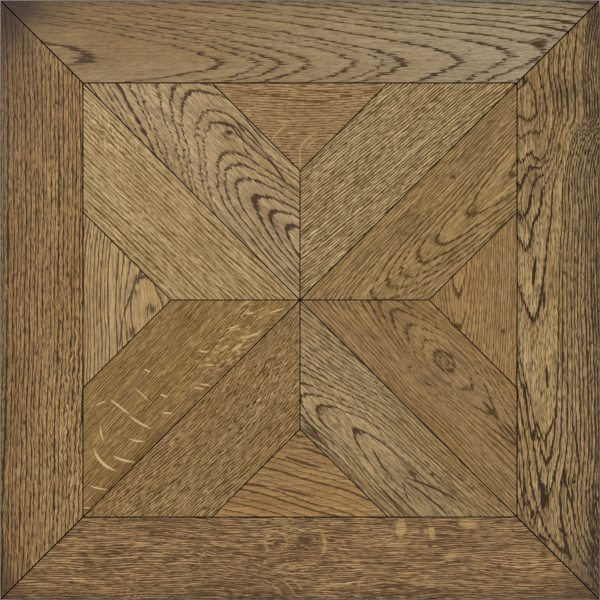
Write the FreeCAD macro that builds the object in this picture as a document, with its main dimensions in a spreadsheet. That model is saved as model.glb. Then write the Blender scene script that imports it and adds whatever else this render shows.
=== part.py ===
# Parquet block: a square floor module of sixteen stained oak staves glued to a birch plywood base.
# Four mitred border staves frame a cross of eight diagonal staves, with a triangle in each gap of the cross.
# Millimetres. +Z is the walking side, +Y is the top of the pattern, and the origin is the centre of the underside.

import FreeCAD, Part
import math
import os
import Sketcher

DRIVING_SIZES = (
    ("block_side", 600, "outside to outside of the border"),
    ("border_width", 83, "mitred border stave, across its grain"),
    ("infill_base", 176, "infill triangle, along its long side"),
    ("face_thickness", 4, "oak staves"),
    ("base_thickness", 12, "birch plywood base, nine plies"),
    ("edge_bevel", 0.5, "bevel round the top of each stave, across and down"),
    ("base_setback", 0.5, "plywood short of the oak on each side, so that blocks close at the face"),
    ("base_arris", 0.6, "arris taken off the lower edges of the plywood"),
    ("spline_thickness", 5, "loose spline that joins this block to the next"),
    ("spline_clearance", 0.1, "above and below the spline in its groove"),
    ("groove_depth", 9.5, "spline groove, in from the side of the plywood"),
)

# Sizes that follow from the ones above, as formulas in the same sheet
DERIVED_SIZES = (
    ("half_side", "block_side / 2", "centre to the outside of the border"),
    ("half_field", "half_side - border_width", "centre to the inside of the border"),
    ("half_infill", "infill_base / 2", "also the height of an infill triangle"),
    ("stave_length", "half_field * sqrt(2)", "diagonal stave, along its long side"),
    ("stave_width", "(half_field - half_infill) / sqrt(2)", "diagonal stave, across its grain"),
    ("base_side", "block_side - 2 * base_setback", "outside to outside of the plywood"),
    ("groove_width", "spline_thickness + 2 * spline_clearance", "spline groove, up and down"),
    ("groove_floor", "(base_thickness - groove_width) / 2", "underside of the plywood to the groove"),
    ("groove_inside", "base_side - groove_depth", "far wall of the groove that runs opposite"),
    ("cutter_end", "base_side + groove_depth", "the cut runs out past the plywood by its own depth"),
)

document = FreeCAD.newDocument("ParquetBlock")
sheet = document.addObject("Spreadsheet::Sheet", "Sizes")
rows = DRIVING_SIZES + tuple((alias, f"={formula}", note) for alias, formula, note in DERIVED_SIZES)
for row, (alias, size, note) in enumerate(rows, start=1):
    sheet.set(f"A{row}", alias)
    sheet.set(f"B{row}", str(size))
    sheet.set(f"C{row}", note)
    sheet.setAlias(f"B{row}", alias)
document.recompute()

SKETCH_ORIGIN = (-1, 1)
LINE_START, LINE_END = 1, 2
SIDES = ("south", "east", "north", "west")
ARMS = (
    ("ne", "north", "east"),
    ("nw", "west", "north"),
    ("sw", "south", "west"),
    ("se", "east", "south"),
)
QUARTER_TURN = 90


def new_body(label):
    body = document.addObject("PartDesign::Body", label)
    body.Label = label
    return body


def flat_sketch(body, name):
    """An empty sketch on the body's own horizontal plane."""
    plane = next(p for p in body.Origin.OriginFeatures if p.Role == "XY_Plane")
    sketch = body.newObject("Sketcher::SketchObject", name)
    sketch.AttachmentSupport = [(plane, "")]
    sketch.MapMode = "FlatFace"
    return sketch


def bind(sketch, direction, line, value, expression):
    """Ties the start of a line to the sheet, along X or Y from the sketch's origin."""
    number = sketch.addConstraint(
        Sketcher.Constraint(direction, *SKETCH_ORIGIN, line, LINE_START, value)
    )
    sketch.setExpression(f"Constraints[{number}]", expression)


def add_outline(sketch, corners):
    """A closed outline of straight lines. Each corner is a pair of expressions on the sheet.

    The lines start as a small regular polygon, and the constraints bring each corner to its place.
    """
    step = 2 * math.pi / len(corners)
    points = [
        FreeCAD.Vector(math.cos(step * number), math.sin(step * number), 0)
        for number in range(len(corners))
    ]
    ends = points[1:] + points[:1]
    lines = [
        sketch.addGeometry(Part.LineSegment(start, end))
        for start, end in zip(points, ends)
    ]
    for line, following in zip(lines, lines[1:] + lines[:1]):
        sketch.addConstraint(
            Sketcher.Constraint("Coincident", line, LINE_END, following, LINE_START)
        )
    for line, point, (x, y) in zip(lines, points, corners):
        bind(sketch, "DistanceX", line, point.x, x)
        bind(sketch, "DistanceY", line, point.y, y)


def square(low, high):
    return ((low, low), (high, low), (high, high), (low, high))


def add_pad(body, sketch, thickness):
    pad = body.newObject("PartDesign::Pad", f"{body.Label}_pad")
    pad.Profile = sketch
    pad.setExpression("Length", thickness)
    sketch.Visibility = False
    return pad


def edges_at(feature, height):
    """Names of the feature's edges that lie flat at one height."""
    return [
        f"Edge{number}"
        for number, edge in enumerate(feature.Shape.Edges, start=1)
        if all(abs(vertex.Z - height) < 1e-6 for vertex in edge.Vertexes)
    ]


def bevel(body, feature, height, size):
    """A bevel on the edges that lie flat at one height. Its size is an expression on the sheet."""
    document.recompute()
    chamfer = body.newObject("PartDesign::Chamfer", f"{body.Label}_bevel")
    chamfer.Base = (feature, edges_at(feature, height))
    chamfer.setExpression("Size", size)
    body.Tip = chamfer
    return chamfer


def quarter_turned(x, y, turns):
    """A point, as two expressions, after a number of quarter turns about the block's centre."""
    for _ in range(turns):
        x, y = f"-({y})", x
    return x, y


def place(body, x, y, z, angle):
    body.Placement = FreeCAD.Placement(
        FreeCAD.Vector(0, 0, 0), FreeCAD.Rotation(FreeCAD.Vector(0, 0, 1), angle)
    )
    body.setExpression("Placement.Base.x", x)
    body.setExpression("Placement.Base.y", y)
    body.setExpression("Placement.Base.z", z)


def make_stave(label, corners, origin, turns, angle):
    """One oak stave on top of the base, bevelled round its upper face."""
    body = new_body(label)
    sketch = flat_sketch(body, f"{label}_outline")
    add_outline(sketch, corners)
    pad = add_pad(body, sketch, "Sizes.face_thickness")
    bevel(body, pad, sheet.get("face_thickness"), "Sizes.edge_bevel")
    x, y = quarter_turned(*origin, turns)
    place(body, x, y, "Sizes.base_thickness", angle + QUARTER_TURN * turns)
    return body


def mitred_outline(length, width):
    """A stave cut at 45 degrees at both ends. Its long side starts at the origin and runs along X."""
    return (
        ("0", "0"),
        (length, "0"),
        (f"{length} - {width}", width),
        (width, width),
    )


def triangle_outline():
    """A right-angled triangle whose long side starts at the origin and runs along X."""
    return (("0", "0"), ("Sizes.infill_base", "0"), ("Sizes.half_infill", "Sizes.half_infill"))


def make_border():
    outline = mitred_outline("Sizes.block_side", "Sizes.border_width")
    corner = ("-Sizes.half_side", "-Sizes.half_side")
    return [
        make_stave(f"border_stave_{side}", outline, corner, turns, 0)
        for turns, side in enumerate(SIDES)
    ]


def make_cross():
    """Two staves on each arm. One starts at the block's centre, the other at the border's inner corner."""
    outline = mitred_outline("Sizes.stave_length", "Sizes.stave_width")
    corner = ("Sizes.half_field", "Sizes.half_field")
    staves = []
    for turns, (arm, first_side, second_side) in enumerate(ARMS):
        first = f"cross_stave_{arm}_{first_side}"
        second = f"cross_stave_{arm}_{second_side}"
        staves.append(make_stave(first, outline, ("0", "0"), turns, 45))
        staves.append(make_stave(second, outline, corner, turns, 225))
    return staves


def make_infill():
    """A triangle on the middle of each side of the field, between two arms of the cross."""
    corner = ("-Sizes.half_infill", "-Sizes.half_field")
    return [
        make_stave(f"infill_triangle_{side}", triangle_outline(), corner, turns, 0)
        for turns, side in enumerate(SIDES)
    ]


def make_base():
    """The plywood base, with one spline groove milled right along each of its four sides."""
    body = new_body("plywood_base")
    board = flat_sketch(body, "plywood_outline")
    add_outline(board, square("0", "Sizes.base_side"))
    pad = add_pad(body, board, "Sizes.base_thickness")
    document.recompute()

    cutter = flat_sketch(body, "groove_outline")
    cutter.setExpression("AttachmentOffset.Base.z", "Sizes.groove_floor")
    add_outline(cutter, square("-Sizes.groove_depth", "Sizes.cutter_end"))
    add_outline(cutter, square("Sizes.groove_depth", "Sizes.groove_inside"))
    groove = body.newObject("PartDesign::Pocket", "spline_groove")
    groove.Profile = cutter
    groove.Reversed = True
    groove.setExpression("Length", "Sizes.groove_width")
    cutter.Visibility = False

    bevel(body, groove, 0, "Sizes.base_arris")
    place(body, "-Sizes.base_side / 2", "-Sizes.base_side / 2", "0", 0)
    return body


def check(pieces):
    """Stops the script if a feature failed, a piece isn't one sound solid, or the groove cut nothing."""
    for feature in document.Objects:
        if {"Invalid", "Error"} & set(feature.State):
            raise RuntimeError(f"{feature.Label} failed: {feature.State}")
    for piece in pieces:
        shape = piece.Shape
        if shape.isNull() or not shape.isValid() or len(shape.Solids) != 1:
            raise RuntimeError(f"{piece.Label} isn't one sound solid")
    groove = document.getObject("spline_groove")
    if groove.Shape.Volume >= groove.BaseFeature.Shape.Volume:
        raise RuntimeError("the spline groove cut nothing")


pieces = [make_base(), *make_border(), *make_cross(), *make_infill()]
document.recompute()
check(pieces)
os.makedirs("parts", exist_ok=True)
for piece in pieces:
    piece.Shape.exportStep(f"parts/{piece.Label}.step")
    box = piece.Shape.BoundBox
    print(f"{piece.Label}: {box.XLength:.1f} x {box.YLength:.1f} x {box.ZLength:.1f} mm")
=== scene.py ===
import bpy
import math
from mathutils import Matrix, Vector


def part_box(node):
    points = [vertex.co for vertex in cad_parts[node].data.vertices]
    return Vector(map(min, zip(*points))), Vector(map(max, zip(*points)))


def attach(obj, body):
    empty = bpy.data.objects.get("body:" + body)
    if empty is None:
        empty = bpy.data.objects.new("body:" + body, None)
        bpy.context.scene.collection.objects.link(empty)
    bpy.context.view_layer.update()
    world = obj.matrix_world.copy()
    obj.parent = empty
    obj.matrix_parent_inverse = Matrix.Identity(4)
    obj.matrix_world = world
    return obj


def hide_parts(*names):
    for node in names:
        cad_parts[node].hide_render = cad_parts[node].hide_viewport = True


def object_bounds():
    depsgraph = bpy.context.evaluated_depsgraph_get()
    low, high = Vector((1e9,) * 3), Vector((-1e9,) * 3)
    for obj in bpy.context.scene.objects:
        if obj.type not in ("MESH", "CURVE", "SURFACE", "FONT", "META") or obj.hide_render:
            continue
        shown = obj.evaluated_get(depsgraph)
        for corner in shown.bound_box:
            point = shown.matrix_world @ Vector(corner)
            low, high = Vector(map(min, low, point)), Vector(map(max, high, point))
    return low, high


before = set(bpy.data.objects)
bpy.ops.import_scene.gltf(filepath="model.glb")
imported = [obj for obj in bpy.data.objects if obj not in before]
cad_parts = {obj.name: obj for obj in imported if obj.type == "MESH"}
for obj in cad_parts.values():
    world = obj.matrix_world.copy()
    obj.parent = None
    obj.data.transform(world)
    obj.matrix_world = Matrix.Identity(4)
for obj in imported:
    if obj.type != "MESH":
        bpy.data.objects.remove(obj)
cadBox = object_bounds()
print("frame loaded:", len(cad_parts), "nodes")

mm = 0.001  # Blender works in metres, and the sizes below are in millimetres


def nodeSize(node):
    # Along X, Y and Z, in millimetres
    low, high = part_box(node)
    return [side / mm for side in high - low]


# The block, read from the frame
blockSide, borderWidth, faceThickness = nodeSize("border_stave_south")
infillBase = nodeSize("infill_triangle_south")[0]
blockTop = cadBox[1][2] / mm
halfSide = blockSide / 2
halfInfill = infillBase / 2
halfField = halfSide - borderWidth
staveLength = halfField * math.sqrt(2)
staveWidth = (halfField - halfInfill) / math.sqrt(2)


def linearColour(hexValue):
    # sRGB hex to the linear values that nodes take
    channels = [int(hexValue[start:start + 2], 16) / 255 for start in (1, 3, 5)]
    linear = [c / 12.92 if c <= 0.04045 else ((c + 0.055) / 1.055) ** 2.4 for c in channels]
    return (*linear, 1)


def addNode(tree, kind, *inputs, **settings):
    # Adds one node and gives its first output. Inputs are values, hex colours or sockets, in the node's order
    prefix = "" if kind.startswith(("Geometry", "NodeGroup")) else "ShaderNode"
    node = tree.nodes.new(prefix + kind)
    for name, value in settings.items():
        setattr(node, name, value)
    sockets = [socket for socket in node.inputs if socket.enabled]
    for socket, value in zip(sockets, inputs):
        if isinstance(value, bpy.types.NodeSocket):
            tree.links.new(value, socket)
        elif isinstance(value, str):
            socket.default_value = linearColour(value)
        elif value is not None:
            socket.default_value = value
    return next((socket for socket in node.outputs if socket.enabled), node)


def emptyMaterial(name):
    material = bpy.data.materials.new(name)
    material.use_nodes = True
    material.node_tree.nodes.clear()
    return material


def setCurve(output, points, handles):
    # Draws a Float Curve node's line through points from 0 to 1, and hands the node's output back
    curve = output.node.mapping.curves[0]
    while len(curve.points) < len(points):
        curve.points.new(0.5, 0.5)
    for point, (x, y) in zip(curve.points, points):
        point.location = (x, y)
        point.handle_type = handles
    output.node.mapping.update()
    return output


# Grain that all the oak shares. Pairs are sizes along and across the fibres, in millimetres
oakGrain = {
    "seedStep": (7.31, 3.17, 5.71),
    "tooth": (28, 1.5),  # the ragged edge of a ring line where it crosses the fibres
    "sway": (95, 38),  # slow wander of the fibres
    "ripple": (9, 7),  # short waves of the fibres, beside rays and knots
    "pore": (9, 0.95),  # a vessel is 0.3 mm wide, drawn at 1 mm so that it shows
    "finePore": (7, 0.85),
    "streak": (42, 0.8),
    "fade": (40, 7),  # along a ring line, where it takes more or less stain
    "patch": (130, 34),  # where the tree took the stain unevenly
    "heartReach": 200,  # the farthest that the heart line may lie from a stave's corner
    "depthReach": 100,
    "ringReach": 20,  # the widest ring that a list of rings may hold
    "leastRing": 3.4,  # in a narrower ring the line gets thinner with it
    "ringEnd": 0.02,  # how soon the count of millimetres falls back at a ring line
    "unevenness": 0.11,  # how often the rings' width changes, in a millimetre of radius
    "cut": (0.1, 0.95),  # how steeply the face cuts a ring, from a flat cut to a steep one
}
noiseSpan = (0.3, 0.7)  # nearly all of a noise lies between these


def addNoise(tree, place, size, seed, detail, roughness):
    # Noise stretched along the fibres. Its size is in millimetres, and it changes within 2 mm of depth
    stretch = (1 / size[0], 1 / size[1], 0.6)
    stretched = addNode(tree, "VectorMath", place, stretch, seed, operation="MULTIPLY_ADD")
    return addNode(tree, "TexNoise", stretched, 1, detail, roughness)


def addFall(tree, place, along, across, halfLength, halfWidth):
    # One at the middle of a spot, and nothing a little past its half sizes
    away = addNode(tree, "VectorMath", place, (along, across, 0), operation="SUBTRACT")
    away = addNode(tree, "VectorMath", away, (1 / halfLength, 1 / halfWidth, 0), operation="MULTIPLY")
    square = addNode(tree, "VectorMath", away, away, operation="DOT_PRODUCT").node.outputs["Value"]
    return addNode(tree, "Math", 1 / math.e, square, operation="POWER")


def addStroke(tree, spot, along, across, halfLength, halfWidth, degrees, bow):
    # A thin mark that tapers to both ends. Bow is how far its middle stands off the line between them
    turn = (0, 0, math.radians(degrees))
    halfSizes = (halfLength, halfWidth, 1)
    near = addNode(tree, "Mapping", spot, (along, across, 0), turn, halfSizes, vector_type="TEXTURE")
    split = addNode(tree, "SeparateXYZ", near).node.outputs
    square = addNode(tree, "Math", split["X"], split["X"], operation="MULTIPLY")
    bend = bow / halfWidth
    aside = addNode(tree, "Math", square, bend, split["Y"], operation="MULTIPLY_ADD")
    aside = addNode(tree, "Math", aside, bend, operation="SUBTRACT")
    away = addNode(tree, "Math", aside, aside, square, operation="MULTIPLY_ADD")
    return addNode(tree, "MapRange", away, 0.4, 1.1, 1, 0)


def addEye(tree, spot, along, across, halfLength, halfWidth, thickness):
    # A round mark, one at its outline and nothing at a share of its size away from it
    near = addNode(tree, "VectorMath", spot, (along, across, 0), operation="SUBTRACT")
    near = addNode(tree, "VectorMath", near, (1 / halfLength, 1 / halfWidth, 0), operation="MULTIPLY")
    away = addNode(tree, "VectorMath", near, operation="LENGTH").node.outputs["Value"]
    away = addNode(tree, "Math", away, 1, operation="SUBTRACT")
    away = addNode(tree, "Math", away, operation="ABSOLUTE")
    return addNode(tree, "MapRange", away, 0, thickness, 1, 0)


def addGrain(tree, spot, stave):
    # spot is a place on the stave in millimetres: X along it, Y across it and Z up from its face.
    # A tree's rings are tubes round its heart, so the face shows where it cuts them
    grain = oakGrain
    seed = [stave["seed"] * step for step in grain["seedStep"]]
    middle = (stave["length"] / 2, stave["width"] / 2, 0)
    lean = -math.radians(stave.get("lean", 0))
    leaned = addNode(tree, "VectorRotate", spot, middle, lean, rotation_type="Z_AXIS")

    sway = addNoise(tree, leaned, grain["sway"], seed, 2, 0.45)
    sway = addNode(tree, "MapRange", sway, *noiseSpan, -stave["sway"], stave["sway"], clamp=False)
    ripple = addNoise(tree, leaned, grain["ripple"], seed, 1, 0.5)
    for *area, height in stave.get("ripples", ()):
        fall = addFall(tree, leaned, *area)
        wave = addNode(tree, "MapRange", ripple, *noiseSpan, -height, height, clamp=False)
        sway = addNode(tree, "Math", wave, fall, sway, operation="MULTIPLY_ADD")
    tooth = addNoise(tree, leaned, grain["tooth"], seed, 2, 0.65)
    tooth = addNode(tree, "MapRange", tooth, *noiseSpan, -stave["teeth"], stave["teeth"], clamp=False)
    shift = addNode(tree, "CombineXYZ", tooth, sway, 0)
    place = addNode(tree, "VectorMath", leaned, shift, operation="ADD")

    for along, across, radius, stretch in stave.get("knots", ()):
        # Fibres part round a knot, as water does round a pile
        fromKnot = addNode(tree, "VectorMath", place, (along, across, 0), operation="SUBTRACT")
        rounded = addNode(tree, "VectorMath", fromKnot, (1 / stretch, 1, 0), operation="MULTIPLY")
        square = addNode(tree, "VectorMath", rounded, rounded, operation="DOT_PRODUCT").node.outputs["Value"]
        room = addNode(tree, "Math", square, radius ** 2, operation="ADD")
        share = addNode(tree, "Math", square, room, operation="DIVIDE")
        squeeze = addNode(tree, "CombineXYZ", 1, share, 1)
        place = addNode(tree, "VectorMath", fromKnot, squeeze, (along, across, 0), operation="MULTIPLY_ADD")

    # The heart's place beside the stave's edge and its depth, each drawn along the stave
    split = addNode(tree, "SeparateXYZ", place).node.outputs
    share = addNode(tree, "Math", split["X"], stave["length"], operation="DIVIDE")
    side = grain["heartReach"]
    heartPoints = [(u / stave["length"], 0.5 + v / side / 2) for u, v, below in stave["heart"]]
    heartLine = setCurve(addNode(tree, "FloatCurve", 1, share), heartPoints, "AUTO")
    heart = addNode(tree, "MapRange", heartLine, 0, 1, -side, side, clamp=False)
    deepest = grain["depthReach"]
    depthPoints = [(u / stave["length"], below / deepest) for u, v, below in stave["heart"]]
    depthLine = setCurve(addNode(tree, "FloatCurve", 1, share), depthPoints, "AUTO")
    depth = addNode(tree, "Math", depthLine, deepest, split["Z"], operation="MULTIPLY_ADD")
    depth = addNode(tree, "Math", depth, 0, operation="MAXIMUM")
    sideways = addNode(tree, "Math", split["Y"], heart, operation="SUBTRACT")
    sideways = addNode(tree, "Math", sideways, operation="ABSOLUTE")

    # Two gives round rings, and less makes them pointed where they cross the heart line
    point = stave.get("point", 2)
    depthPart = addNode(tree, "Math", depth, point, operation="POWER")
    sidePart = addNode(tree, "Math", sideways, point, operation="POWER")
    radius = addNode(tree, "Math", depthPart, sidePart, operation="ADD")
    radius = addNode(tree, "Math", radius, 1 / point, operation="POWER")
    steep = addNode(tree, "Math", sideways, radius, operation="DIVIDE")
    for *area, height in stave.get("swells", ()):
        # A swelling or dent of the trunk, which bends the rings where the face cuts it
        fall = addFall(tree, place, *area)
        radius = addNode(tree, "Math", fall, height, radius, operation="MULTIPLY_ADD")

    # Rings of about one width, and inside them the listed ones. since is millimetres from the last ring line
    uneven = addNode(tree, "Math", radius, grain["unevenness"], stave["seed"], operation="MULTIPLY_ADD")
    uneven = addNode(tree, "TexNoise", uneven, 1, 2, 0.6, noise_dimensions="1D")
    uneven = addNode(tree, "Math", uneven, stave["ringWidth"], radius, operation="MULTIPLY_ADD")
    since = addNode(tree, "Math", uneven, stave["ringWidth"], operation="FLOORED_MODULO")
    spread = max(1, grain["leastRing"] / stave["ringWidth"])
    since = addNode(tree, "Math", since, spread, operation="MULTIPLY")
    if "rings" in stave:
        rings = stave["rings"]
        first, last = rings[0], rings[-1]
        widest = grain["ringReach"]
        ramps = []
        for start, end in zip(rings, rings[1:]):
            count = min(max(end - start, grain["leastRing"]), stave.get("mostRing", widest))
            ramps += [(start, 0), (end - grain["ringEnd"], count / widest)]
        ramps.append((last, 0))
        share = addNode(tree, "MapRange", radius, first, last, 0, 1)
        ramps = [((ring - first) / (last - first), count) for ring, count in ramps]
        listed = setCurve(addNode(tree, "FloatCurve", 1, share), ramps, "VECTOR")
        listed = addNode(tree, "Math", listed, widest, operation="MULTIPLY")
        inner = addNode(tree, "Math", radius, first, operation="LESS_THAN")
        listed = addNode(tree, "Math", inner, widest, listed, operation="MULTIPLY_ADD")
        outer = addNode(tree, "Math", radius, last, operation="GREATER_THAN")
        since = addNode(tree, "Mix", outer, listed, since, data_type="FLOAT")

    wide = addNode(tree, "MapRange", steep, *grain["cut"], stave["lineFlat"], stave["lineSteep"])
    line = addNode(tree, "MapRange", since, 0, wide, 1, 0, interpolation_type="SMOOTHSTEP")
    return {"leaned": leaned, "place": place, "since": since, "line": line, "wide": wide}


def addEdge(tree, spot, stave):
    # Millimetres from a place on the stave to its nearest edge
    split = addNode(tree, "SeparateXYZ", spot).node.outputs
    farSide = addNode(tree, "Math", stave["width"], split["Y"], operation="SUBTRACT")
    nearEnd = addNode(tree, "Math", split["X"], split["Y"], operation="SUBTRACT")
    fromFarEnd = addNode(tree, "Math", stave["length"], split["X"], operation="SUBTRACT")
    farEnd = addNode(tree, "Math", fromFarEnd, split["Y"], operation="SUBTRACT")
    ends = addNode(tree, "Math", nearEnd, farEnd, operation="MINIMUM")
    ends = addNode(tree, "Math", ends, math.sqrt(0.5), operation="MULTIPLY")
    sides = addNode(tree, "Math", farSide, split["Y"], operation="MINIMUM")
    if stave["kind"] == "infill":
        sides = split["Y"]
    return addNode(tree, "Math", sides, ends, operation="MINIMUM")


# The staves. Places are in millimetres along and across each one from its corner, and angles are in degrees.
# heart: where the middle of the rings runs, and how deep below the face. lean: turns the fibres.
# rings: radii of the listed ring lines. point: below 2 they are pointed. mostRing: the count from one line to
# the next stops there, so a wide ring's line is thicker. ringWidth: of the rings that aren't listed.
# sway, teeth: how far the fibres wander, and how ragged a ring line is. gaps: how much pores break it up.
# lineFlat, lineSteep: its width where the face cuts a ring flat and steeply. faintest: its weakest parts.
# A spot is along, across, half length and half width. knots: along, across, radius and stretch.
# swells, ripples: a spot and a height. smudges of pooled stain, and shadows, broad dull dark areas: a spot
# and a strength.
# washes: a spot, strength and colour. eyes, dark, and swirls, pale: a spot, thickness and strength.
# strokes, dark, and rays, pale: a spot, degrees and bow. flecks: two sizes, degrees, strength and a spot.
# rayVeil: what the fibres leave of a ray. pores, fibre: how strong they are. rim: how light the outer rim is
borderNorth = {
    "node": "border_stave_north", "kind": "border", "turn": 2, "seed": 1,
    "heart": [
        (0, 50, 85), (94, 55, 74.4), (145, 61, 68.3), (250, 64, 55.7), (385, 63, 39.5), (515, 57, 23.9),
        (600, 52, 13),
    ],
    "point": 1.6,
    "rings": [23.9, 39.5, 44.2, 46.7, 50.5, 55.7, 59.3, 61.4, 68.3, 74.4, 78.2, 83, 86, 90],
    "mostRing": 9, "ringWidth": 4, "sway": 1.4, "teeth": 5.5, "gaps": 0.5, "lineFlat": 1.75, "lineSteep": 1.6,
    "smudges": [(60, 42, 9, 5, 0.5), (517, 56, 9, 6, 0.35), (197, 62, 9, 5, 0.25), (40, 22, 24, 14, 0.18)],
    "shadows": [
        (3, 4, 22, 10, 0.6), (590, 9, 44, 22, 0.93), (520, 35, 110, 60, 0.17), (300, 0, 330, 10, 0.14),
        (400, 22, 240, 26, 0.06),
    ],
    "washes": [(60, 50, 170, 90, 0.4, "#a99d87"), (500, 20, 200, 70, 0.55, "#896a41")],
    "pores": 0.35, "fibre": 0.24, "rim": 0.8,
    "light": "#958160", "warm": "#8d7551", "shade": "#7f6946", "line": "#46321e",
}
borderSouth = {
    "node": "border_stave_south", "kind": "border", "turn": 0, "seed": 2,
    "heart": [(0, -90, 0), (220, -88, 0), (340, -94, 0), (600, -92, 0)],
    "ringWidth": 2.1,
    "knots": [(275, 57, 7, 1)],
    "sway": 3, "teeth": 6, "gaps": 0.42, "lineFlat": 2.5, "lineSteep": 2.7,
    "smudges": [(304, 56, 12, 6, 0.35), (250, 4, 60, 5, 0.25), (560, 14, 30, 8, 0.2)],
    "rays": [
        (320, 56, 14, 2, 90, -5), (401, 72, 11, 6, 84, 0), (430, 68, 11, 3.6, 98, -2),
        (272, 12, 15, 1, -40, 3), (288, 12, 12, 1, -50, 2), (450, 44, 8, 4, 20, -1), (468, 76, 11, 5, -8, 0),
        (298, 14, 8, 1, -45, 1), (575, 25, 14, 1, -35, 0),
    ],
    "swirls": [(276, 58, 11, 10, 0.22, 0.75)],
    "flecks": [10, 1.5, -7, 0.8, 300, 40, 400, 80],
    "rayVeil": 0.3,
    "shadows": [
        (594, 5, 36, 15, 0.7), (4, 5, 28, 11, 0.55), (240, 10, 60, 26, 0.32), (306, 56, 18, 9, 0.3),
        (130, 5, 90, 10, 0.12), (450, 5, 110, 12, 0.2),
    ],
    "pores": 0.9, "fibre": 0.8, "rim": 0.8,
    "light": "#a7885c", "warm": "#9b7c50", "shade": "#866645", "line": "#4a321b", "ray": "#ab8a5a",
}
borderWest = {
    "node": "border_stave_west", "kind": "border", "turn": 3, "seed": 3,
    "heart": [(0, -92, 0), (200, -90, 0), (400, -93, 0), (600, -99, 0)],
    "ringWidth": 4.2,
    "ripples": [(420, 70, 130, 14, 1.2)],
    "sway": 1.5, "teeth": 3.2, "gaps": 0.46, "lineFlat": 1.8, "lineSteep": 2.1, "faintest": 0.65,
    "shadows": [(8, 9, 44, 22, 0.9), (594, 5, 30, 13, 0.6), (300, 0, 330, 34, 0.2), (70, 20, 80, 40, 0.15)],
    "washes": [(60, 15, 120, 40, 0.35, "#735839"), (460, 66, 110, 36, 0.6, "#ab8b5d")],
    "pores": 0.85, "fibre": 0.52, "rim": 0.85,
    "light": "#9d7e53", "warm": "#967449", "shade": "#85663d", "line": "#38240e",
}
borderEast = {
    "node": "border_stave_east", "kind": "border", "turn": 1, "seed": 4,
    "heart": [
        (0, -10, 67), (30, 22, 65), (60, 42, 63), (100, 53, 61), (153, 54, 57.6), (250, 62, 51.9),
        (356, 74, 41.5), (387, 77, 36), (418, 81, 31.7), (440, 81, 27.5), (464, 79, 19), (480, 74, 10.5),
        (498, 75, 3), (516, 74, 10), (535, 72, 15), (600, 62, 18),
    ],
    "point": 1.6,
    "rings": [10.5, 19, 27.5, 31.7, 36, 41.5, 49, 57.6],
    "mostRing": 7, "ringWidth": 2.7,
    "swells": [(450, 50, 30, 13, -12), (452, 60, 28, 6, -4), (380, 66, 16, 5, 2)],
    "ripples": [(110, 45, 90, 50, 0.7), (430, 68, 60, 14, 1.4)],
    "sway": 1.2, "teeth": 3, "gaps": 0.42, "lineFlat": 1.7, "lineSteep": 2.4,
    "smudges": [
        (425, 70, 55, 13, 0.16), (506, 30, 14, 18, 0.2), (60, 6, 60, 8, 0.25), (300, 2, 330, 12, 0.22),
    ],
    "strokes": [
        (328, 65, 19, 2.2, -5, 1), (300, 55, 10, 1.2, 0, 1), (222, 53, 14, 1.6, 3, 0), (104, 57, 17, 3, 0, 0),
        (84, 63, 16, 1, -14, 1), (122, 60, 14, 1, -9, 0), (110, 51, 24, 1, 0, 2), (121, 34, 9, 2.2, 0, 1),
        (101, 30, 19, 1.4, 14, 0), (118, 26, 3, 1.6, -60, 0), (153, 25, 34, 1.3, 9, -2),
        (68, 37, 8, 2, 48, 0), (158, 54, 10, 1.6, 0, 0), (168, 59, 15, 1.2, 22, 1),
        (171, 50, 14, 1.2, -22, 0), (165, 66, 7, 2, 0, 0), (200, 74, 22, 1.4, 8, 0), (106, 76, 22, 1.4, 0, 0),
        (86, 68, 6, 2, 0, 0), (62, 57, 7, 2, 60, 0), (520, 76, 6, 1.8, 0, 0),
    ],
    "shadows": [
        (10, 8, 50, 20, 0.58), (300, 0, 330, 11, 0.2), (508, 32, 18, 22, 0.3), (588, 6, 42, 17, 0.6),
        (480, 12, 50, 12, 0.15), (30, 50, 60, 40, 0.1), (390, 8, 90, 12, 0.1),
    ],
    "washes": [
        (520, 66, 130, 30, 0.6, "#826541"), (20, 50, 70, 50, 0.55, "#826541"),
        (300, 5, 400, 30, 0.25, "#8f7c62"),
    ],
    "pores": 0.8, "fibre": 0.55, "rim": 1,
    "light": "#a48b60", "warm": "#9d8050", "shade": "#8a6b42", "line": "#33220f",
}
crossNwNorth = {
    "node": "cross_stave_nw_north", "kind": "outer", "turn": 1, "seed": 5,
    "heart": [
        (0, 68, 75), (84, 64, 60), (122, 59, 51), (150, 48, 46), (176, 42, 40), (222, 43, 33),
        (306.9, 46, 22),
    ],
    "rings": [25.6, 29.1, 32.1, 35, 38.8, 42.4, 45.6, 51, 54, 60, 63, 67, 71],
    "ringWidth": 4,
    "knots": [(140, 67, 6, 1.4)],
    "ripples": [(75, 45, 60, 40, 1.9)],
    "sway": 1.4, "teeth": 3, "gaps": 0.28, "lineFlat": 1.6, "lineSteep": 2,
    "smudges": [
        (83, 66, 5, 4, 0.3), (250, 45, 5, 3, 0.3), (139, 68, 1.8, 1.8, 1), (204, 41, 5, 4, 0.35),
        (212, 36, 8, 3, 0.35), (226, 42, 5, 4, 0.3), (235, 36, 8, 3, 0.3),
    ],
    "strokes": [
        (153, 80, 24, 1.2, 0, 3), (198, 75, 22, 1.4, -9, 1), (165, 69, 8, 1, -5, -2),
        (141, 67, 19, 0.9, 0, 9.5),
    ],
    "eyes": [(140, 66, 4.5, 4, 0.8, 0.56)],
    "shadows": [(140, 66, 7, 6, 0.35), (211, 37, 11, 4, 0.45), (234, 38, 11, 4, 0.4), (90, 70, 30, 16, 0.1)],
    "pores": 0.5, "fibre": 0.4,
    "light": "#a68e69", "warm": "#9e835a", "shade": "#91774f", "line": "#443224",
}
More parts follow.
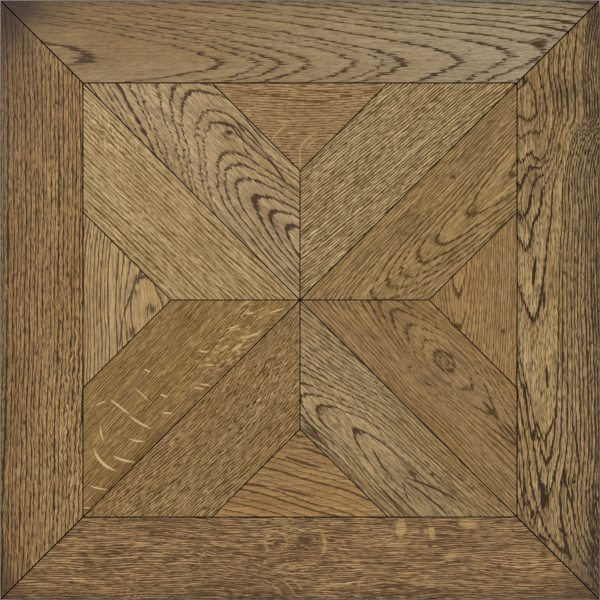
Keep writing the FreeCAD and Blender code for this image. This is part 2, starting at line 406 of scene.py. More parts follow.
crossNwWest = {
    "node": "cross_stave_nw_west", "kind": "inner", "turn": 1, "seed": 6,
    "heart": [(0, 190, 0), (306.9, 190, 0)],
    "lean": 1.5, "ringWidth": 3.9,
    "ripples": [(255, 14, 60, 26, 0.8)],
    "sway": 1.5, "teeth": 3, "gaps": 0.55, "lineFlat": 1.5, "lineSteep": 2.1, "faintest": 0.45,
    "flecks": [9, 1.8, -38, 0.6, 250, 20, 60, 26],
    "pores": 0.65, "fibre": 0.42,
    "light": "#ad956a", "warm": "#a68b61", "shade": "#9b835c", "line": "#5f471d", "ray": "#bda67c",
}
crossNeNorth = {
    "node": "cross_stave_ne_north", "kind": "inner", "turn": 0, "seed": 7,
    "heart": [(0, 190, 0), (306.9, 190, 0)],
    "lean": -5.5, "ringWidth": 2.6, "sway": 1.2, "teeth": 3, "gaps": 0.55, "lineFlat": 2.3, "lineSteep": 2.6,
    "pores": 0.7, "fibre": 0.6,
    "light": "#b19a73", "warm": "#a98e62", "shade": "#a38a5f", "line": "#4d3608",
}
crossNeEast = {
    "node": "cross_stave_ne_east", "kind": "outer", "turn": 0, "seed": 8,
    "heart": [
        (0, 62, 3), (65, 61, 12.3), (122, 60, 19.5), (165, 58, 23.5), (214, 56, 29.5), (250, 52, 35),
        (306.9, 48, 43),
    ],
    "rings": [12.3, 19.5, 23.5, 26.5, 29.5, 32, 35, 38.4],
    "ringWidth": 2.3, "sway": 1, "teeth": 4, "gaps": 0.45, "lineFlat": 1.5, "lineSteep": 1.9,
    "smudges": [
        (120, 60, 6, 4, 0.4), (92, 71, 6, 2, 0.3), (165, 74, 8, 3, 0.35), (166, 58, 4, 4, 0.2),
        (111, 22, 2, 2, 0.6),
    ],
    "pores": 0.7, "fibre": 0.5,
    "light": "#997d52", "warm": "#987a4b", "shade": "#8d7148", "line": "#4e3918",
}
crossSwWest = {
    "node": "cross_stave_sw_west", "kind": "outer", "turn": 2, "seed": 9,
    "heart": [(0, 176, 0), (120, 178, 0), (306.9, 192, 0)],
    "ringWidth": 2.3, "sway": 1.2, "teeth": 3, "gaps": 0.5, "lineFlat": 2.2, "lineSteep": 2.2,
    "faintest": 0.6,
    "smudges": [(217, 66, 3, 14, 0.22), (225, 17, 8, 2, 0.3), (60, 0, 60, 7, 0.3)],
    "rays": [
        (93, 67, 7, 0.7, -25, 1), (103.5, 52, 14, 1.1, -83, 0.5), (108, 27, 14, 1.3, -75, -1.5),
        (73, 46, 9, 1, 57, 1), (57, 25, 17.5, 1.8, 90, 5), (70, 12.5, 12.5, 1.4, -61, -1.5),
        (92.5, 16.5, 9, 1, -54, -1), (32, 10, 11, 0.9, -57, -1), (9, 4, 5, 0.8, -45, 0),
        (133, 14, 6, 1, -47, 0), (143, 28.5, 4.5, 1.1, -65, 0), (128, 45, 11, 0.7, -88, 0.5),
        (197, 18, 5, 1, -45, 0), (173, 9, 6, 0.9, -55, 0), (180, 7, 7, 0.9, -53, 0),
        (229, 11, 8, 1.3, -10, 0), (250, 8, 10, 1, -25, 0), (202, 32, 5, 1.1, -50, 0),
        (149, 58, 4, 1, -70, 0), (283, 9, 9, 1, -28, 0), (240, 28, 6, 1.1, -30, 0), (262, 26, 6, 1, -40, 0),
    ],
    "flecks": [7, 2.2, -25, 0.8, 235, 18, 70, 26],
    "shadows": [(150, 2, 170, 9, 0.25)],
    "pores": 0.5, "fibre": 0.5,
    "light": "#96784e", "warm": "#937142", "shade": "#88693b", "line": "#54390a", "ray": "#bfa272",
}
crossSwSouth = {
    "node": "cross_stave_sw_south", "kind": "inner", "turn": 2, "seed": 10,
    "heart": [(0, 170, 0), (130, 188, 0), (200, 186, 0), (306.9, 172, 0)],
    "ringWidth": 2.4,
    "ripples": [(95, 30, 80, 50, 1.4)],
    "sway": 1.5, "teeth": 5, "gaps": 0.7, "lineFlat": 2.4, "lineSteep": 2.7,
    "pores": 0.65, "fibre": 0.5,
    "light": "#a38860", "warm": "#9d7e51", "shade": "#917246", "line": "#4e3708",
}
crossSeEast = {
    "node": "cross_stave_se_east", "kind": "inner", "turn": 3, "seed": 11,
    "heart": [
        (0, 58, 34), (76, 59, 22), (97, 59, 18), (118, 59, 12), (145, 58, 2), (182, 59, 12), (220, 56, 19),
        (306.9, 50, 24),
    ],
    "rings": [12, 18, 22, 25, 28, 31.5, 35],
    "ringWidth": 3,
    "swells": [(147, 34, 22, 14, -4)],
    "sway": 1.3, "teeth": 3.5, "gaps": 0.5, "lineFlat": 1.7, "lineSteep": 1.15,
    "smudges": [
        (145, 59, 6, 4, 0.2), (78, 57, 4, 7, 0.25), (58, 47, 16, 3, 0.25), (103, 50, 9, 4, 0.2),
        (180, 60, 3, 5, 0.2),
    ],
    "strokes": [
        (214, 56, 16, 1.8, -4, 1), (240, 58, 12, 1.3, -4, 0), (245, 54, 18, 1.5, -5, 0),
        (235, 51, 14, 1, -5, 0), (150, 31, 5, 1.2, 15, 0),
    ],
    "eyes": [(145, 59, 12, 7.5, 0.4, 0.85), (145, 59, 5.5, 3.5, 0.4, 0.45)],
    "shadows": [
        (147, 38, 16, 9, 0.22), (145, 59, 16, 10, 0.2), (60, 48, 26, 6, 0.15), (220, 56, 40, 6, 0.15),
    ],
    "pores": 0.5, "fibre": 0.4,
    "light": "#91764f", "warm": "#8d6e43", "shade": "#84673f", "line": "#4b3519",
}
crossSeSouth = {
    "node": "cross_stave_se_south", "kind": "outer", "turn": 3, "seed": 12,
    "heart": [(0, 46, 0), (107, 54, 8), (172, 53, 16), (212, 62, 22), (306.9, 70, 40)],
    "rings": [16, 22.5, 26, 29, 32.3],
    "ringWidth": 3.3, "sway": 1.5, "teeth": 2.2, "gaps": 0.35, "lineFlat": 1.5, "lineSteep": 1.65,
    "smudges": [
        (103, 44, 9, 6, 0.4), (172, 53, 7, 3, 0.4), (212, 62, 7, 5, 0.35), (205, 84, 24, 5, 0.4),
        (114, 63, 5, 3, 0.3), (242, 54, 12, 5, 0.2), (90, 30, 3, 2, 0.6),
    ],
    "strokes": [
        (76, 50, 31, 1.2, 6, -1), (78, 41, 32, 1.3, 20, -3), (95, 60, 12, 1, -25, 2),
        (100, 76, 22, 1.1, -5, 1), (136, 57, 18, 1.1, -14, 1), (90, 68, 20, 1, -2, 1),
    ],
    "shadows": [(205, 84, 30, 7, 0.15), (100, 55, 40, 18, 0.14)],
    "washes": [(250, 50, 100, 70, 0.6, "#ac936b"), (60, 70, 60, 30, 0.3, "#7e6745")],
    "pores": 0.65, "fibre": 0.5,
    "light": "#98815a", "warm": "#927648", "shade": "#8c7045", "line": "#453322",
}
infillNorth = {
    "node": "infill_triangle_north", "kind": "infill", "turn": 2, "seed": 13,
    "heart": [(0, 184, 0), (70, 188, 0), (176, 184, 0)],
    "ringWidth": 2.6, "sway": 1, "teeth": 2.5, "gaps": 0.7, "lineFlat": 1.8, "lineSteep": 1.9,
    "smudges": [(130, 8, 30, 4, 0.08)],
    "strokes": [
        (41, 13, 7, 1.6, 0, 0), (85, 17, 30, 1.2, -3, 1), (122, 10, 34, 1, -6, 2), (60, 8, 30, 1, -4, 1),
    ],
    "rays": [
        (87.5, 78, 9, 1, 90, -0.5), (79, 59, 13, 1.1, 43, -3.5), (108, 51, 13, 0.9, 44, -3),
        (88, 66, 6, 0.8, 80, 0), (76, 62, 9, 0.8, 40, -2),
    ],
    "pores": 0.6, "fibre": 0.45,
    "light": "#9f835e", "warm": "#9b7c55", "shade": "#947551", "line": "#5c4012", "ray": "#a4865b",
}
infillEast = {
    "node": "infill_triangle_east", "kind": "infill", "turn": 1, "seed": 14,
    "heart": [(0, 58, 24), (64, 58, 14), (98, 58, 10), (176, 57, 2)],
    "rings": [6, 10, 14],
    "ringWidth": 2.2,
    "knots": [(57, 14, 1.5, 1.6)],
    "sway": 1, "teeth": 2.5, "gaps": 0.5, "lineFlat": 2.1, "lineSteep": 1.6,
    "smudges": [(57, 14, 2, 1.6, 1), (62, 58, 3, 4, 0.3)],
    "pores": 0.55, "fibre": 0.45,
    "light": "#997c52", "warm": "#997547", "shade": "#967347", "line": "#553c1c",
}
infillSouth = {
    "node": "infill_triangle_south", "kind": "infill", "turn": 0, "seed": 15,
    "heart": [(0, 176, 0), (50, 165, 0), (95, 152, 0), (140, 140, 0), (176, 124, 0)],
    "ringWidth": 7, "sway": 1.5, "teeth": 1.5, "gaps": 0.2, "lineFlat": 2.2, "lineSteep": 2.2,
    "smudges": [(88, 80, 8, 4, 0.4), (68, 58, 8, 3, 0.3), (120, 62, 7, 4, 0.25)],
    "strokes": [
        (45, 31, 15, 1.6, -8, 1), (82, 24, 24, 1.5, -14, 1), (92, 55, 22, 1.8, -17, -1),
        (104, 64, 18, 1.6, -20, 1),
    ],
    "washes": [(88, 78, 90, 36, 0.5, "#856843")],
    "pores": 0.4, "fibre": 0.4,
    "light": "#9d7d4c", "warm": "#977246", "shade": "#836743", "line": "#553c22",
}
infillWest = {
    "node": "infill_triangle_west", "kind": "infill", "turn": 3, "seed": 16,
    "heart": [(0, 66, 28), (62, 62, 25), (97, 64, 20), (122, 64, 22), (176, 62, 26)],
    "rings": [25, 29.5, 33.5, 37, 41],
    "ringWidth": 3.2, "sway": 1.5, "teeth": 5, "gaps": 0.42, "lineFlat": 1.5, "lineSteep": 1.9,
    "smudges": [(97, 67, 6, 6, 0.48), (121, 50, 7, 4.5, 0.48), (65, 60, 7, 6, 0.4), (80, 52, 9, 2.5, 0.3)],
    "strokes": [(88, 47, 22, 1.3, -20, -1), (65, 60, 6, 1.6, -70, 0), (122, 38, 18, 1, -6, 0)],
    "pores": 0.45, "fibre": 0.4,
    "light": "#ab9065", "warm": "#a38558", "shade": "#987c4f", "line": "#523f2a",
}
staves = [
    borderSouth, borderEast, borderNorth, borderWest,
    crossNeNorth, crossNeEast, crossNwWest, crossNwNorth,
    crossSwSouth, crossSwWest, crossSeEast, crossSeSouth,
    infillSouth, infillEast, infillNorth, infillWest,
]

# How each kind of stave is cut, where it starts before its quarter turns, and the dark seam along its edge
cuts = {
    "border": {"length": blockSide, "width": borderWidth, "corner": (-halfSide, -halfSide), "angle": 0},
    "inner": {"length": staveLength, "width": staveWidth, "corner": (0, 0), "angle": 45},
    "outer": {"length": staveLength, "width": staveWidth, "corner": (halfField, halfField), "angle": 225},
    "infill": {"length": infillBase, "width": halfInfill, "corner": (-halfInfill, -halfField), "angle": 0},
}
seams = {"border": (0.5, 0.95), "inner": (0.4, 0.75), "outer": (0.4, 0.75), "infill": (0.4, 0.75)}


def cutStave(stave):
    # Adds the stave's size, place and direction to its dictionary
    cut = cuts[stave["kind"]]
    x, y = cut["corner"]
    for _ in range(stave["turn"]):
        x, y = -y, x
    stave.update(length=cut["length"], width=cut["width"], x=x, y=y, angle=cut["angle"] + 90 * stave["turn"])


# How the stain takes on the oak. A pair is where an effect starts and where it is full
stain = {
    "seedStep": (3.7, 9.1, 1.3),
    "taken": (0.35, 0.6),  # of the fade noise, from a ring line's weakest part to its fullest
    "faintest": 0.8,
    "fullest": 1.2,
    "smudge": 1.6,
    "stroke": 0.9,
    "pooled": (0.38, 0.62),
    "porous": (0.5, 0.62),
    "warmer": (0.4, 0.65),
    "haloReach": 3,  # how far the wood beside a ring line takes more stain, in widths of the line
    "halo": 0.6,
    # the dull dark colour that the shadows' broad soft areas are mixed towards
    "dullDark": "#3a2c27",
    "flecked": (0.53, 0.62),
    "veiled": (0.4, 0.55),
    "clearRay": 0.95,
    "rim": (0, 11),  # millimetres in from the block's outside
    # seam: near black, stain pooled in the arrises and painted shade of the gap between staves
    "seam": "#150c07",
    "bareSide": (-0.6, -0.9),  # millimetres up from the face, just below the stained arris
    "bareOak": "#b39368",
    "bareRing": "#94714a",
    "roughness": (0.4, 0.46),  # on clear wood and in a pore
    "shine": (0.22, 0.02),  # on the face and in a seam
    "relief": 0.15,
}


def addDark(tree, spot, grain, seed, stave):
    # Where the stain is dark: ring lines broken into pores, and the listed marks
    pores = addNoise(tree, grain["place"], oakGrain["pore"], seed, 1.5, 0.5)
    finePores = addNoise(tree, grain["place"], oakGrain["finePore"], seed, 1, 0.5)
    fade = addNoise(tree, grain["place"], oakGrain["fade"], seed, 1, 0.5)
    faintest = stave.get("faintest", stain["faintest"])
    line = addNode(tree, "MapRange", fade, *stain["taken"], faintest, stain["fullest"])
    line = addNode(tree, "Math", line, grain["line"], operation="MULTIPLY")
    breakUp = addNode(tree, "MapRange", pores, *noiseSpan, -stave["gaps"], stave["gaps"], clamp=False)
    pooled = addNode(tree, "Math", line, breakUp, operation="ADD")
    for *area, strength in stave.get("smudges", ()):
        fall = addFall(tree, spot, *area)
        pooled = addNode(tree, "Math", fall, stain["smudge"] * strength, pooled, operation="MULTIPLY_ADD")
    for mark in stave.get("strokes", ()):
        stroke = addStroke(tree, spot, *mark)
        pooled = addNode(tree, "Math", stroke, stain["stroke"], pooled, operation="MULTIPLY_ADD")
    for *outline, strength in stave.get("eyes", ()):
        eye = addEye(tree, spot, *outline)
        pooled = addNode(tree, "Math", eye, strength, pooled, operation="MULTIPLY_ADD")
    full = addNode(tree, "MapRange", pooled, *stain["pooled"], 0, 1)
    sparse = addNode(tree, "MapRange", finePores, *stain["porous"], 0, stave["pores"])
    return addNode(tree, "Math", full, sparse, operation="MAXIMUM")


def addTone(tree, spot, grain, seed, fibres, stave):
    # The wood between the pores, in two tones, darker beside a ring line, with broad washes of other tones
    patches = addNoise(tree, grain["leaned"], oakGrain["patch"], seed, 2, 0.5)
    warmth = addNode(tree, "MapRange", patches, *stain["warmer"], 0, 1)
    tone = addNode(tree, "Mix", warmth, stave["light"], stave["warm"], data_type="RGBA")
    reach = addNode(tree, "Math", grain["wide"], stain["haloReach"], operation="MULTIPLY")
    halo = addNode(tree, "MapRange", grain["since"], 0, reach, 1, 0, interpolation_type="SMOOTHSTEP")
    halo = addNode(tree, "Math", halo, stain["halo"], operation="MULTIPLY")
    tone = addNode(tree, "Mix", halo, tone, stave["shade"], data_type="RGBA")
    for *area, strength, wash in stave.get("washes", ()):
        fall = addFall(tree, spot, *area)
        share = addNode(tree, "Math", fall, strength, operation="MULTIPLY")
        tone = addNode(tree, "Mix", share, tone, wash, data_type="RGBA")
    tone = addNode(tree, "VectorMath", tone, fibres, operation="SCALE")

    # Broad soft areas, at the corners, along the rims and round some marks, mixed towards one dull dark
    # colour
    dulling = 0
    for *area, strength in stave.get("shadows", ()):
        fall = addFall(tree, spot, *area)
        dulling = addNode(tree, "Math", fall, strength, dulling, operation="MULTIPLY_ADD", use_clamp=True)
    return addNode(tree, "Mix", dulling, tone, stain["dullDark"], data_type="RGBA")


def addPale(tree, spot, seed, streaks, stave):
    # Medullary rays are hard and have no pores, so they stay pale
    pale = 0
    for *outline, strength in stave.get("swirls", ()):
        swirl = addEye(tree, spot, *outline)
        pale = addNode(tree, "Math", swirl, strength, operation="MULTIPLY")
    for mark in stave.get("rays", ()):
        stroke = addStroke(tree, spot, *mark)
        pale = addNode(tree, "Math", stroke, pale, operation="MAXIMUM")
    if "flecks" in stave:
        along, across, degrees, strength, *area = stave["flecks"]
        slant = -math.radians(degrees)
        slanted = addNode(tree, "VectorRotate", spot, (0, 0, 0), slant, rotation_type="Z_AXIS")
        flecks = addNoise(tree, slanted, (along, across), seed, 2, 0.6)
        flecks = addNode(tree, "MapRange", flecks, *stain["flecked"], 0, strength)
        flecks = addNode(tree, "Math", flecks, addFall(tree, spot, *area), operation="MULTIPLY")
        pale = addNode(tree, "Math", flecks, pale, operation="MAXIMUM")
    least = stave.get("rayVeil", stain["clearRay"])
    veil = addNode(tree, "MapRange", streaks, *stain["veiled"], least, stain["clearRay"])
    return addNode(tree, "Math", pale, veil, operation="MULTIPLY", use_clamp=True)


# Stained oak under a thin satin oil. Stain gathers in the open pores of each ring, and at the arrises, where
# the near-black seam colour is also painted shade of the gap between staves
def stainedOak(stave):
    name = stave["node"].replace("_stave", "").replace("_triangle", "")
    material = emptyMaterial(f"stained_oak_{name}")
    tree = material.node_tree
    seed = [stave["seed"] * step for step in stain["seedStep"]]
    where = addNode(tree, "TexCoord").node.outputs["Object"]
    corner = (stave["x"] * mm, stave["y"] * mm, blockTop * mm)
    turn = (0, 0, math.radians(stave["angle"]))
    spot = addNode(tree, "Mapping", where, corner, turn, (mm, mm, mm), vector_type="TEXTURE")
    split = addNode(tree, "SeparateXYZ", spot).node.outputs
    grain = addGrain(tree, spot, stave)

    streaks = addNoise(tree, grain["place"], oakGrain["streak"], seed, 2, 0.6)
    fibre = stave["fibre"]
    fibres = addNode(tree, "MapRange", streaks, *noiseSpan, 1 - fibre, 1 + fibre, clamp=False)
    dark = addDark(tree, spot, grain, seed, stave)
    colour = addTone(tree, spot, grain, seed, fibres, stave)
    if "ray" in stave:
        pale = addPale(tree, spot, seed, streaks, stave)
        colour = addNode(tree, "Mix", pale, colour, stave["ray"], data_type="RGBA")
        bare = addNode(tree, "Math", 1, pale, operation="SUBTRACT")
        dark = addNode(tree, "Math", dark, bare, operation="MULTIPLY")
    colour = addNode(tree, "Mix", dark, colour, stave["line"], data_type="RGBA")

    # The border staves are darker towards the block's outer rim, and the seams are near black: stain pooled
    # in the arrises, and painted shade of the gap between staves
    if stave["kind"] == "border":
        tones = (stave["rim"], 1)
        rim = addNode(tree, "MapRange", split["Y"], *stain["rim"], *tones, interpolation_type="SMOOTHSTEP")
        colour = addNode(tree, "VectorMath", colour, rim, operation="SCALE")
    edge = addEdge(tree, spot, stave)
    seam = addNode(tree, "MapRange", edge, *seams[stave["kind"]], 1, 0)
    colour = addNode(tree, "Mix", seam, colour, stain["seam"], data_type="RGBA")
    shine = addNode(tree, "MapRange", seam, 0, 1, *stain["shine"])

    # The sides were cut after staining, so bare oak shows there
    cutSide = addNode(tree, "MapRange", split["Z"], *stain["bareSide"], 0, 1)
    bareOak = addNode(tree, "Mix", grain["line"], stain["bareOak"], stain["bareRing"], data_type="RGBA")
    bareOak = addNode(tree, "VectorMath", bareOak, fibres, operation="SCALE")
    colour = addNode(tree, "Mix", cutSide, colour, bareOak, data_type="RGBA")

    rough = addNode(tree, "MapRange", dark, 0, 1, *stain["roughness"])
    relief = addNode(tree, "Math", dark, -1, streaks, operation="MULTIPLY_ADD")
    bump = addNode(tree, "Bump", 0.5, stain["relief"] * mm, None, relief)
    shader = tree.nodes.new("ShaderNodeBsdfPrincipled")
    tree.links.new(colour, shader.inputs["Base Color"])
    tree.links.new(rough, shader.inputs["Roughness"])
    tree.links.new(bump, shader.inputs["Normal"])
    tree.links.new(shine, shader.inputs["Specular IOR Level"])
    end = tree.nodes.new("ShaderNodeOutputMaterial")
    tree.links.new(shader.outputs[0], end.inputs["Surface"])
    return material


# The brushed face of a stave, in millimetres and degrees
brushing = {
    "cell": 1.25,  # of the mesh's grid
    "bevel": 0.5,
    "depth": 0.15,  # how deep the brush took out the soft wood of each ring
    "clear": (0.5, 2),  # from the edge, where the brushing starts and where it is full
    "weld": 0.02,
    "sharp": 30,
}


def staveShape(stave, finish):
    # A mitred stave as a grid that narrows towards its inner side, with the arris and the brushed rings in it
    tree = bpy.data.node_groups.new(stave["node"] + "_shape", "GeometryNodeTree")
    sizes = {
        "Length": stave["length"] * mm, "Width": stave["width"] * mm, "Thickness": faceThickness * mm,
        "Bevel": brushing["bevel"] * mm, "Brush Depth": brushing["depth"] * mm, "Weld": brushing["weld"] * mm,
        "Turn": math.radians(stave["angle"]),
    }
    counts = {
        "Columns": round(stave["length"] / brushing["cell"]),
        "Rows": round(stave["width"] / brushing["cell"]),
    }
    kinds = {**dict.fromkeys(sizes, "Float"), **dict.fromkeys(counts, "Int")}
    kinds.update(Corner="Vector", Finish="Material")
    for name, kind in kinds.items():
        tree.interface.new_socket(name, in_out="INPUT", socket_type="NodeSocket" + kind)
    tree.interface.new_socket("Stave", in_out="OUTPUT", socket_type="NodeSocketGeometry")
    given = tree.nodes.new("NodeGroupInput").outputs

    pointsAlong = addNode(tree, "Math", given["Columns"], 1, operation="ADD")
    pointsAcross = addNode(tree, "Math", given["Rows"], 1, operation="ADD")
    grid = addNode(tree, "GeometryNodeMeshGrid", 1, 1, pointsAlong, pointsAcross)
    position = addNode(tree, "GeometryNodeInputPosition")
    split = addNode(tree, "SeparateXYZ", position).node.outputs
    column = addNode(tree, "MapRange", split["X"], -0.5, 0.5, 0, given["Columns"])
    row = addNode(tree, "MapRange", split["Y"], -0.5, 0.5, 0, given["Rows"])
    lastColumn = addNode(tree, "Math", given["Columns"], 1, operation="SUBTRACT")
    lastRow = addNode(tree, "Math", given["Rows"], 1, operation="SUBTRACT")

    # The first and the last row and column are as wide as the bevel
    farBevel = addNode(tree, "Math", given["Width"], given["Bevel"], operation="SUBTRACT")
    inside = addNode(tree, "MapRange", row, 1, lastRow, given["Bevel"], farBevel)
    minusBevel = addNode(tree, "Math", given["Bevel"], -1, operation="MULTIPLY")
    lower = addNode(tree, "MapRange", row, 0, 1, minusBevel, 0)
    upper = addNode(tree, "MapRange", row, lastRow, given["Rows"], 0, given["Bevel"])
    y = addNode(tree, "Math", inside, lower, operation="ADD")
    y = addNode(tree, "Math", y, upper, operation="ADD")
    halfLength = addNode(tree, "Math", given["Length"], 2, operation="DIVIDE")
    half = addNode(tree, "Math", halfLength, y, operation="SUBTRACT")
    slant = addNode(tree, "Math", given["Bevel"], math.sqrt(2), operation="MULTIPLY")
    slant = addNode(tree, "Math", slant, half, operation="MINIMUM")
    between = addNode(tree, "Math", half, slant, operation="SUBTRACT")
    along = addNode(tree, "MapRange", column, 1, lastColumn, -1, 1)
    nearEnd = addNode(tree, "MapRange", column, 0, 1, -1, 0)
    farEnd = addNode(tree, "MapRange", column, lastColumn, given["Columns"], 0, 1)
    ends = addNode(tree, "Math", nearEnd, farEnd, operation="ADD")
    ends = addNode(tree, "Math", ends, slant, halfLength, operation="MULTIPLY_ADD")
    x = addNode(tree, "Math", along, between, ends, operation="MULTIPLY_ADD")

    # How far each point drops, at the arris and where the brush ran along a ring
    flat = addNode(tree, "CombineXYZ", x, y, 0)
    spot = addNode(tree, "VectorMath", flat, 1 / mm, operation="SCALE")
    edge = addEdge(tree, spot, stave)
    bevelWidth = addNode(tree, "Math", given["Bevel"], mm, operation="DIVIDE")
    drop = addNode(tree, "Math", bevelWidth, edge, operation="SUBTRACT")
    drop = addNode(tree, "Math", drop, 0, operation="MAXIMUM")
    level = addNode(tree, "Math", drop, -mm, given["Thickness"], operation="MULTIPLY_ADD")
    grain = addGrain(tree, spot, stave)
    clear = addNode(tree, "MapRange", edge, *brushing["clear"], 0, 1)
    brushed = addNode(tree, "Math", grain["line"], clear, operation="MULTIPLY")
    brushed = addNode(tree, "Math", brushed, given["Brush Depth"], operation="MULTIPLY")
    z = addNode(tree, "Math", level, brushed, operation="SUBTRACT")
    shaped = addNode(tree, "CombineXYZ", x, y, z)
    top = addNode(tree, "GeometryNodeSetPosition", grid, None, shaped)
    top = addNode(tree, "GeometryNodeMergeByDistance", top, None, given["Weld"])

    # Sides down to the plywood, and an underside
    neighbours = addNode(tree, "GeometryNodeInputMeshEdgeNeighbors")
    rim = addNode(tree, "Math", neighbours, 1, 0.1, operation="COMPARE")
    sideHeight = addNode(tree, "Math", given["Thickness"], given["Bevel"], operation="SUBTRACT")
    down = addNode(tree, "CombineXYZ", 0, 0, -1)
    walled = addNode(tree, "GeometryNodeExtrudeMesh", top, rim, down, sideHeight, mode="EDGES")
    outline = addNode(tree, "GeometryNodeMeshToCurve", walled, walled.node.outputs["Top"])
    underside = addNode(tree, "GeometryNodeFillCurve", outline, mode="NGONS")
    underside = addNode(tree, "GeometryNodeFlipFaces", underside)
    joined = tree.nodes.new("GeometryNodeJoinGeometry")
    tree.links.new(walled, joined.inputs[0])
    tree.links.new(underside, joined.inputs[0])
    closed = addNode(tree, "GeometryNodeMergeByDistance", joined.outputs[0], None, given["Weld"])
    angle = addNode(tree, "GeometryNodeInputMeshEdgeAngle")
    sharp = addNode(tree, "Math", angle, math.radians(brushing["sharp"]), operation="GREATER_THAN")
    smooth = addNode(tree, "GeometryNodeSetShadeSmooth", closed, None, True, domain="FACE")
    smooth = addNode(tree, "GeometryNodeSetShadeSmooth", smooth, sharp, False, domain="EDGE")
    turn = addNode(tree, "CombineXYZ", 0, 0, given["Turn"])
    placed = addNode(tree, "GeometryNodeTransform", smooth, given["Corner"], turn)
    real = addNode(tree, "GeometryNodeRealizeInstances", placed)
    finished = addNode(tree, "GeometryNodeSetMaterial", real, None, given["Finish"])
    tree.links.new(finished, tree.nodes.new("NodeGroupOutput").inputs[0])

    corner = (stave["x"] * mm, stave["y"] * mm, (blockTop - faceThickness) * mm)
    values = {**sizes, **counts, "Corner": corner, "Finish": finish}
    blankName = stave["node"] + "_blank"
    blank = bpy.data.objects.new(blankName, bpy.data.meshes.new(blankName))
    bpy.context.collection.objects.link(blank)
    modifier = blank.modifiers.new("shape", "NODES")
    modifier.node_group = tree
    for socket in tree.interface.items_tree:
        if socket.in_out == "INPUT":
            modifier[socket.identifier] = values[socket.name]
    evaluated = blank.evaluated_get(bpy.context.evaluated_depsgraph_get())
    mesh = bpy.data.meshes.new_from_object(evaluated)
    blank.modifiers.clear()
    bpy.data.objects.remove(blank)
    return mesh


for stave in staves:
    cutStave(stave)
    mesh = staveShape(stave, stainedOak(stave))
    mesh.name = "brushed_" + stave["node"]
    piece = bpy.data.objects.new(mesh.name, mesh)
    bpy.context.collection.objects.link(piece)
    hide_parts(stave["node"])
    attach(piece, "root")
    print(mesh.name, len(mesh.polygons), "faces")
print("staves laid:", len(staves))


plywood = {
    "plies": 9,
    "thickness": 12,
    "fibre": (90, 2.5, 2.5),  # of the face veneer, in millimetres along X, Y and Z
    "fibreEnds": (0.8, 0.8, 0.5),
    "glued": (0.04, 0.1),  # from the middle of a glue line, in thicknesses of a ply
    "speckle": (0.8, 1.15),
    "roughness": 0.62,
    "relief": 0.1,
    "faceVeneer": "#dec59c",
    "faceGrain": "#c4a06d",
    "longGrain": "#cfae80",
    "endGrain": "#a57f55",
    "glueLine": "#5b3d26",
}


# Birch plywood, sanded: pale face veneer, and nine plies at the sides that turn from long grain to end grain
def birchPlywood():
    material = emptyMaterial("birch_plywood")
    tree = material.node_tree
    where = addNode(tree, "TexCoord").node.outputs["Object"]
    place = addNode(tree, "VectorMath", where, 1 / mm, operation="SCALE")
    split = addNode(tree, "SeparateXYZ", place).node.outputs
    ply = plywood["thickness"] / plywood["plies"]
    number = addNode(tree, "Math", split["Z"], ply, operation="DIVIDE")
    whole = addNode(tree, "Math", number, operation="FLOOR")
    parity = addNode(tree, "Math", whole, 2, operation="FLOORED_MODULO")
    part = addNode(tree, "Math", number, operation="FRACT")
    fromGlue = addNode(tree, "Math", part, 0.5, operation="PINGPONG")
    glue = addNode(tree, "MapRange", fromGlue, *plywood["glued"], 1, 0)

    fibreScale = [1 / size for size in plywood["fibre"]]
    fibrePlace = addNode(tree, "VectorMath", place, fibreScale, operation="MULTIPLY")
    fibres = addNode(tree, "TexNoise", fibrePlace, 1, 4, 0.6)
    fibres = addNode(tree, "MapRange", fibres, 0.35, 0.65, 0, 1)
    face = addNode(tree, "Mix", fibres, plywood["faceGrain"], plywood["faceVeneer"], data_type="RGBA")
    endScale = [1 / size for size in plywood["fibreEnds"]]
    endPlace = addNode(tree, "VectorMath", place, endScale, operation="MULTIPLY")
    fibreEnds = addNode(tree, "TexNoise", endPlace, 1, 3, 0.7)

    # A ply that shows long grain on the south side shows end grain on the east side
    normal = addNode(tree, "NewGeometry").node.outputs["Normal"]
    slopes = addNode(tree, "VectorMath", normal, operation="ABSOLUTE")
    slopes = addNode(tree, "SeparateXYZ", slopes).node.outputs
    flat = addNode(tree, "Math", slopes["Z"], 0.6, operation="GREATER_THAN")
    eastWest = addNode(tree, "Math", slopes["X"], 0.5, operation="GREATER_THAN")
    crossed = addNode(tree, "Math", parity, eastWest, operation="SUBTRACT")
    crossed = addNode(tree, "Math", crossed, operation="ABSOLUTE")
    side = addNode(tree, "Mix", crossed, plywood["longGrain"], plywood["endGrain"], data_type="RGBA")
    speckle = addNode(tree, "MapRange", fibreEnds, *noiseSpan, *plywood["speckle"], clamp=False)
    side = addNode(tree, "VectorMath", side, speckle, operation="SCALE")
    side = addNode(tree, "Mix", glue, side, plywood["glueLine"], data_type="RGBA")
    colour = addNode(tree, "Mix", flat, side, face, data_type="RGBA")
    bump = addNode(tree, "Bump", 0.4, plywood["relief"] * mm, None, fibreEnds)
    shader = tree.nodes.new("ShaderNodeBsdfPrincipled")
    tree.links.new(colour, shader.inputs["Base Color"])
    tree.links.new(bump, shader.inputs["Normal"])
    shader.inputs["Roughness"].default_value = plywood["roughness"]
    end = tree.nodes.new("ShaderNodeOutputMaterial")
    tree.links.new(shader.outputs[0], end.inputs["Surface"])
    return material


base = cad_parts["plywood_base"]
base.data.materials.clear()
base.data.materials.append(birchPlywood())
print("plywood base finished")


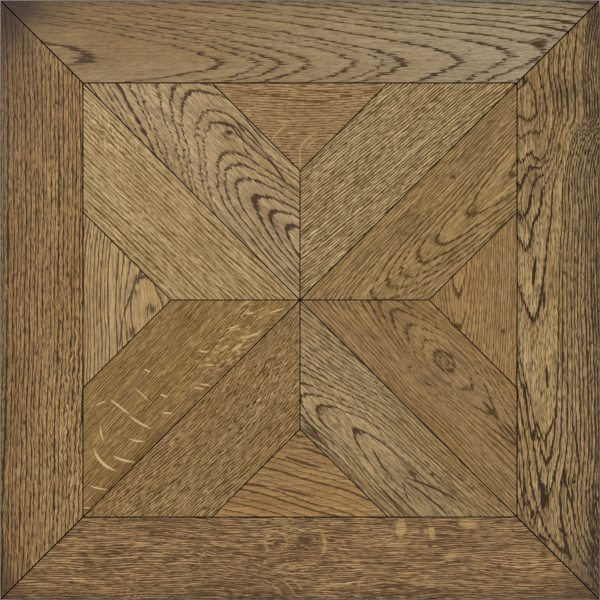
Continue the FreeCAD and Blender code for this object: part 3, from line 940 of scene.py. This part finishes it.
# The studio, in metres and watts but for the floor's level and the camera
studio = {
    "floorSide": 8,
    "floorLevel": 0.05,  # millimetres above the underside, so that the two don't share a plane from below
    "floorColour": "#d8d6d2",
    "floorRoughness": 0.9,
    "worldColour": (1, 1, 1, 1),
    "worldStrength": 0.25,
    "lamps": {
        "key": {"place": (-2.2, 1.6, 1.6), "side": 1.6, "power": 131},
        "fill": {"place": (2.2, -1.5, 1.6), "side": 1.6, "power": 65},
    },
    "lens": 85,
    "sensor": 36,
}


def buildStudio():
    scene = bpy.context.scene
    half = studio["floorSide"] / 2
    level = studio["floorLevel"] * mm
    mesh = bpy.data.meshes.new("studio_floor")
    corners = [(-half, -half, level), (half, -half, level), (half, half, level), (-half, half, level)]
    mesh.from_pydata(corners, [], [(0, 1, 2, 3)])
    floor = bpy.data.objects.new("studio_floor", mesh)
    bpy.context.collection.objects.link(floor)
    # Pale matt paper, which takes a soft shadow
    material = bpy.data.materials.new("studio_paper")
    material.use_nodes = True
    shader = material.node_tree.nodes["Principled BSDF"]
    shader.inputs["Base Color"].default_value = linearColour(studio["floorColour"])
    shader.inputs["Roughness"].default_value = studio["floorRoughness"]
    mesh.materials.append(material)

    world = bpy.data.worlds.new("studio")
    scene.world = world
    world.use_nodes = True
    background = world.node_tree.nodes["Background"]
    background.inputs["Color"].default_value = studio["worldColour"]
    background.inputs["Strength"].default_value = studio["worldStrength"]

    for name, lamp in studio["lamps"].items():
        light = bpy.data.lights.new(name, "AREA")
        light.size = lamp["side"]
        light.energy = lamp["power"]
        holder = bpy.data.objects.new(name, light)
        holder.location = lamp["place"]
        toLamp = holder.location.normalized()
        holder.rotation_euler = toLamp.to_track_quat("Z", "Y").to_euler()
        bpy.context.collection.objects.link(holder)

    # Straight down, from where the block just fills the picture
    camera = bpy.data.cameras.new("camera")
    camera.lens = studio["lens"]
    camera.sensor_width = studio["sensor"]
    holder = bpy.data.objects.new("camera", camera)
    distance = blockSide * mm * studio["lens"] / studio["sensor"]
    holder.location = (0, 0, blockTop * mm + distance)
    bpy.context.collection.objects.link(holder)
    scene.camera = holder
    scene.view_settings.view_transform = "Standard"


buildStudio()
print("studio ready")
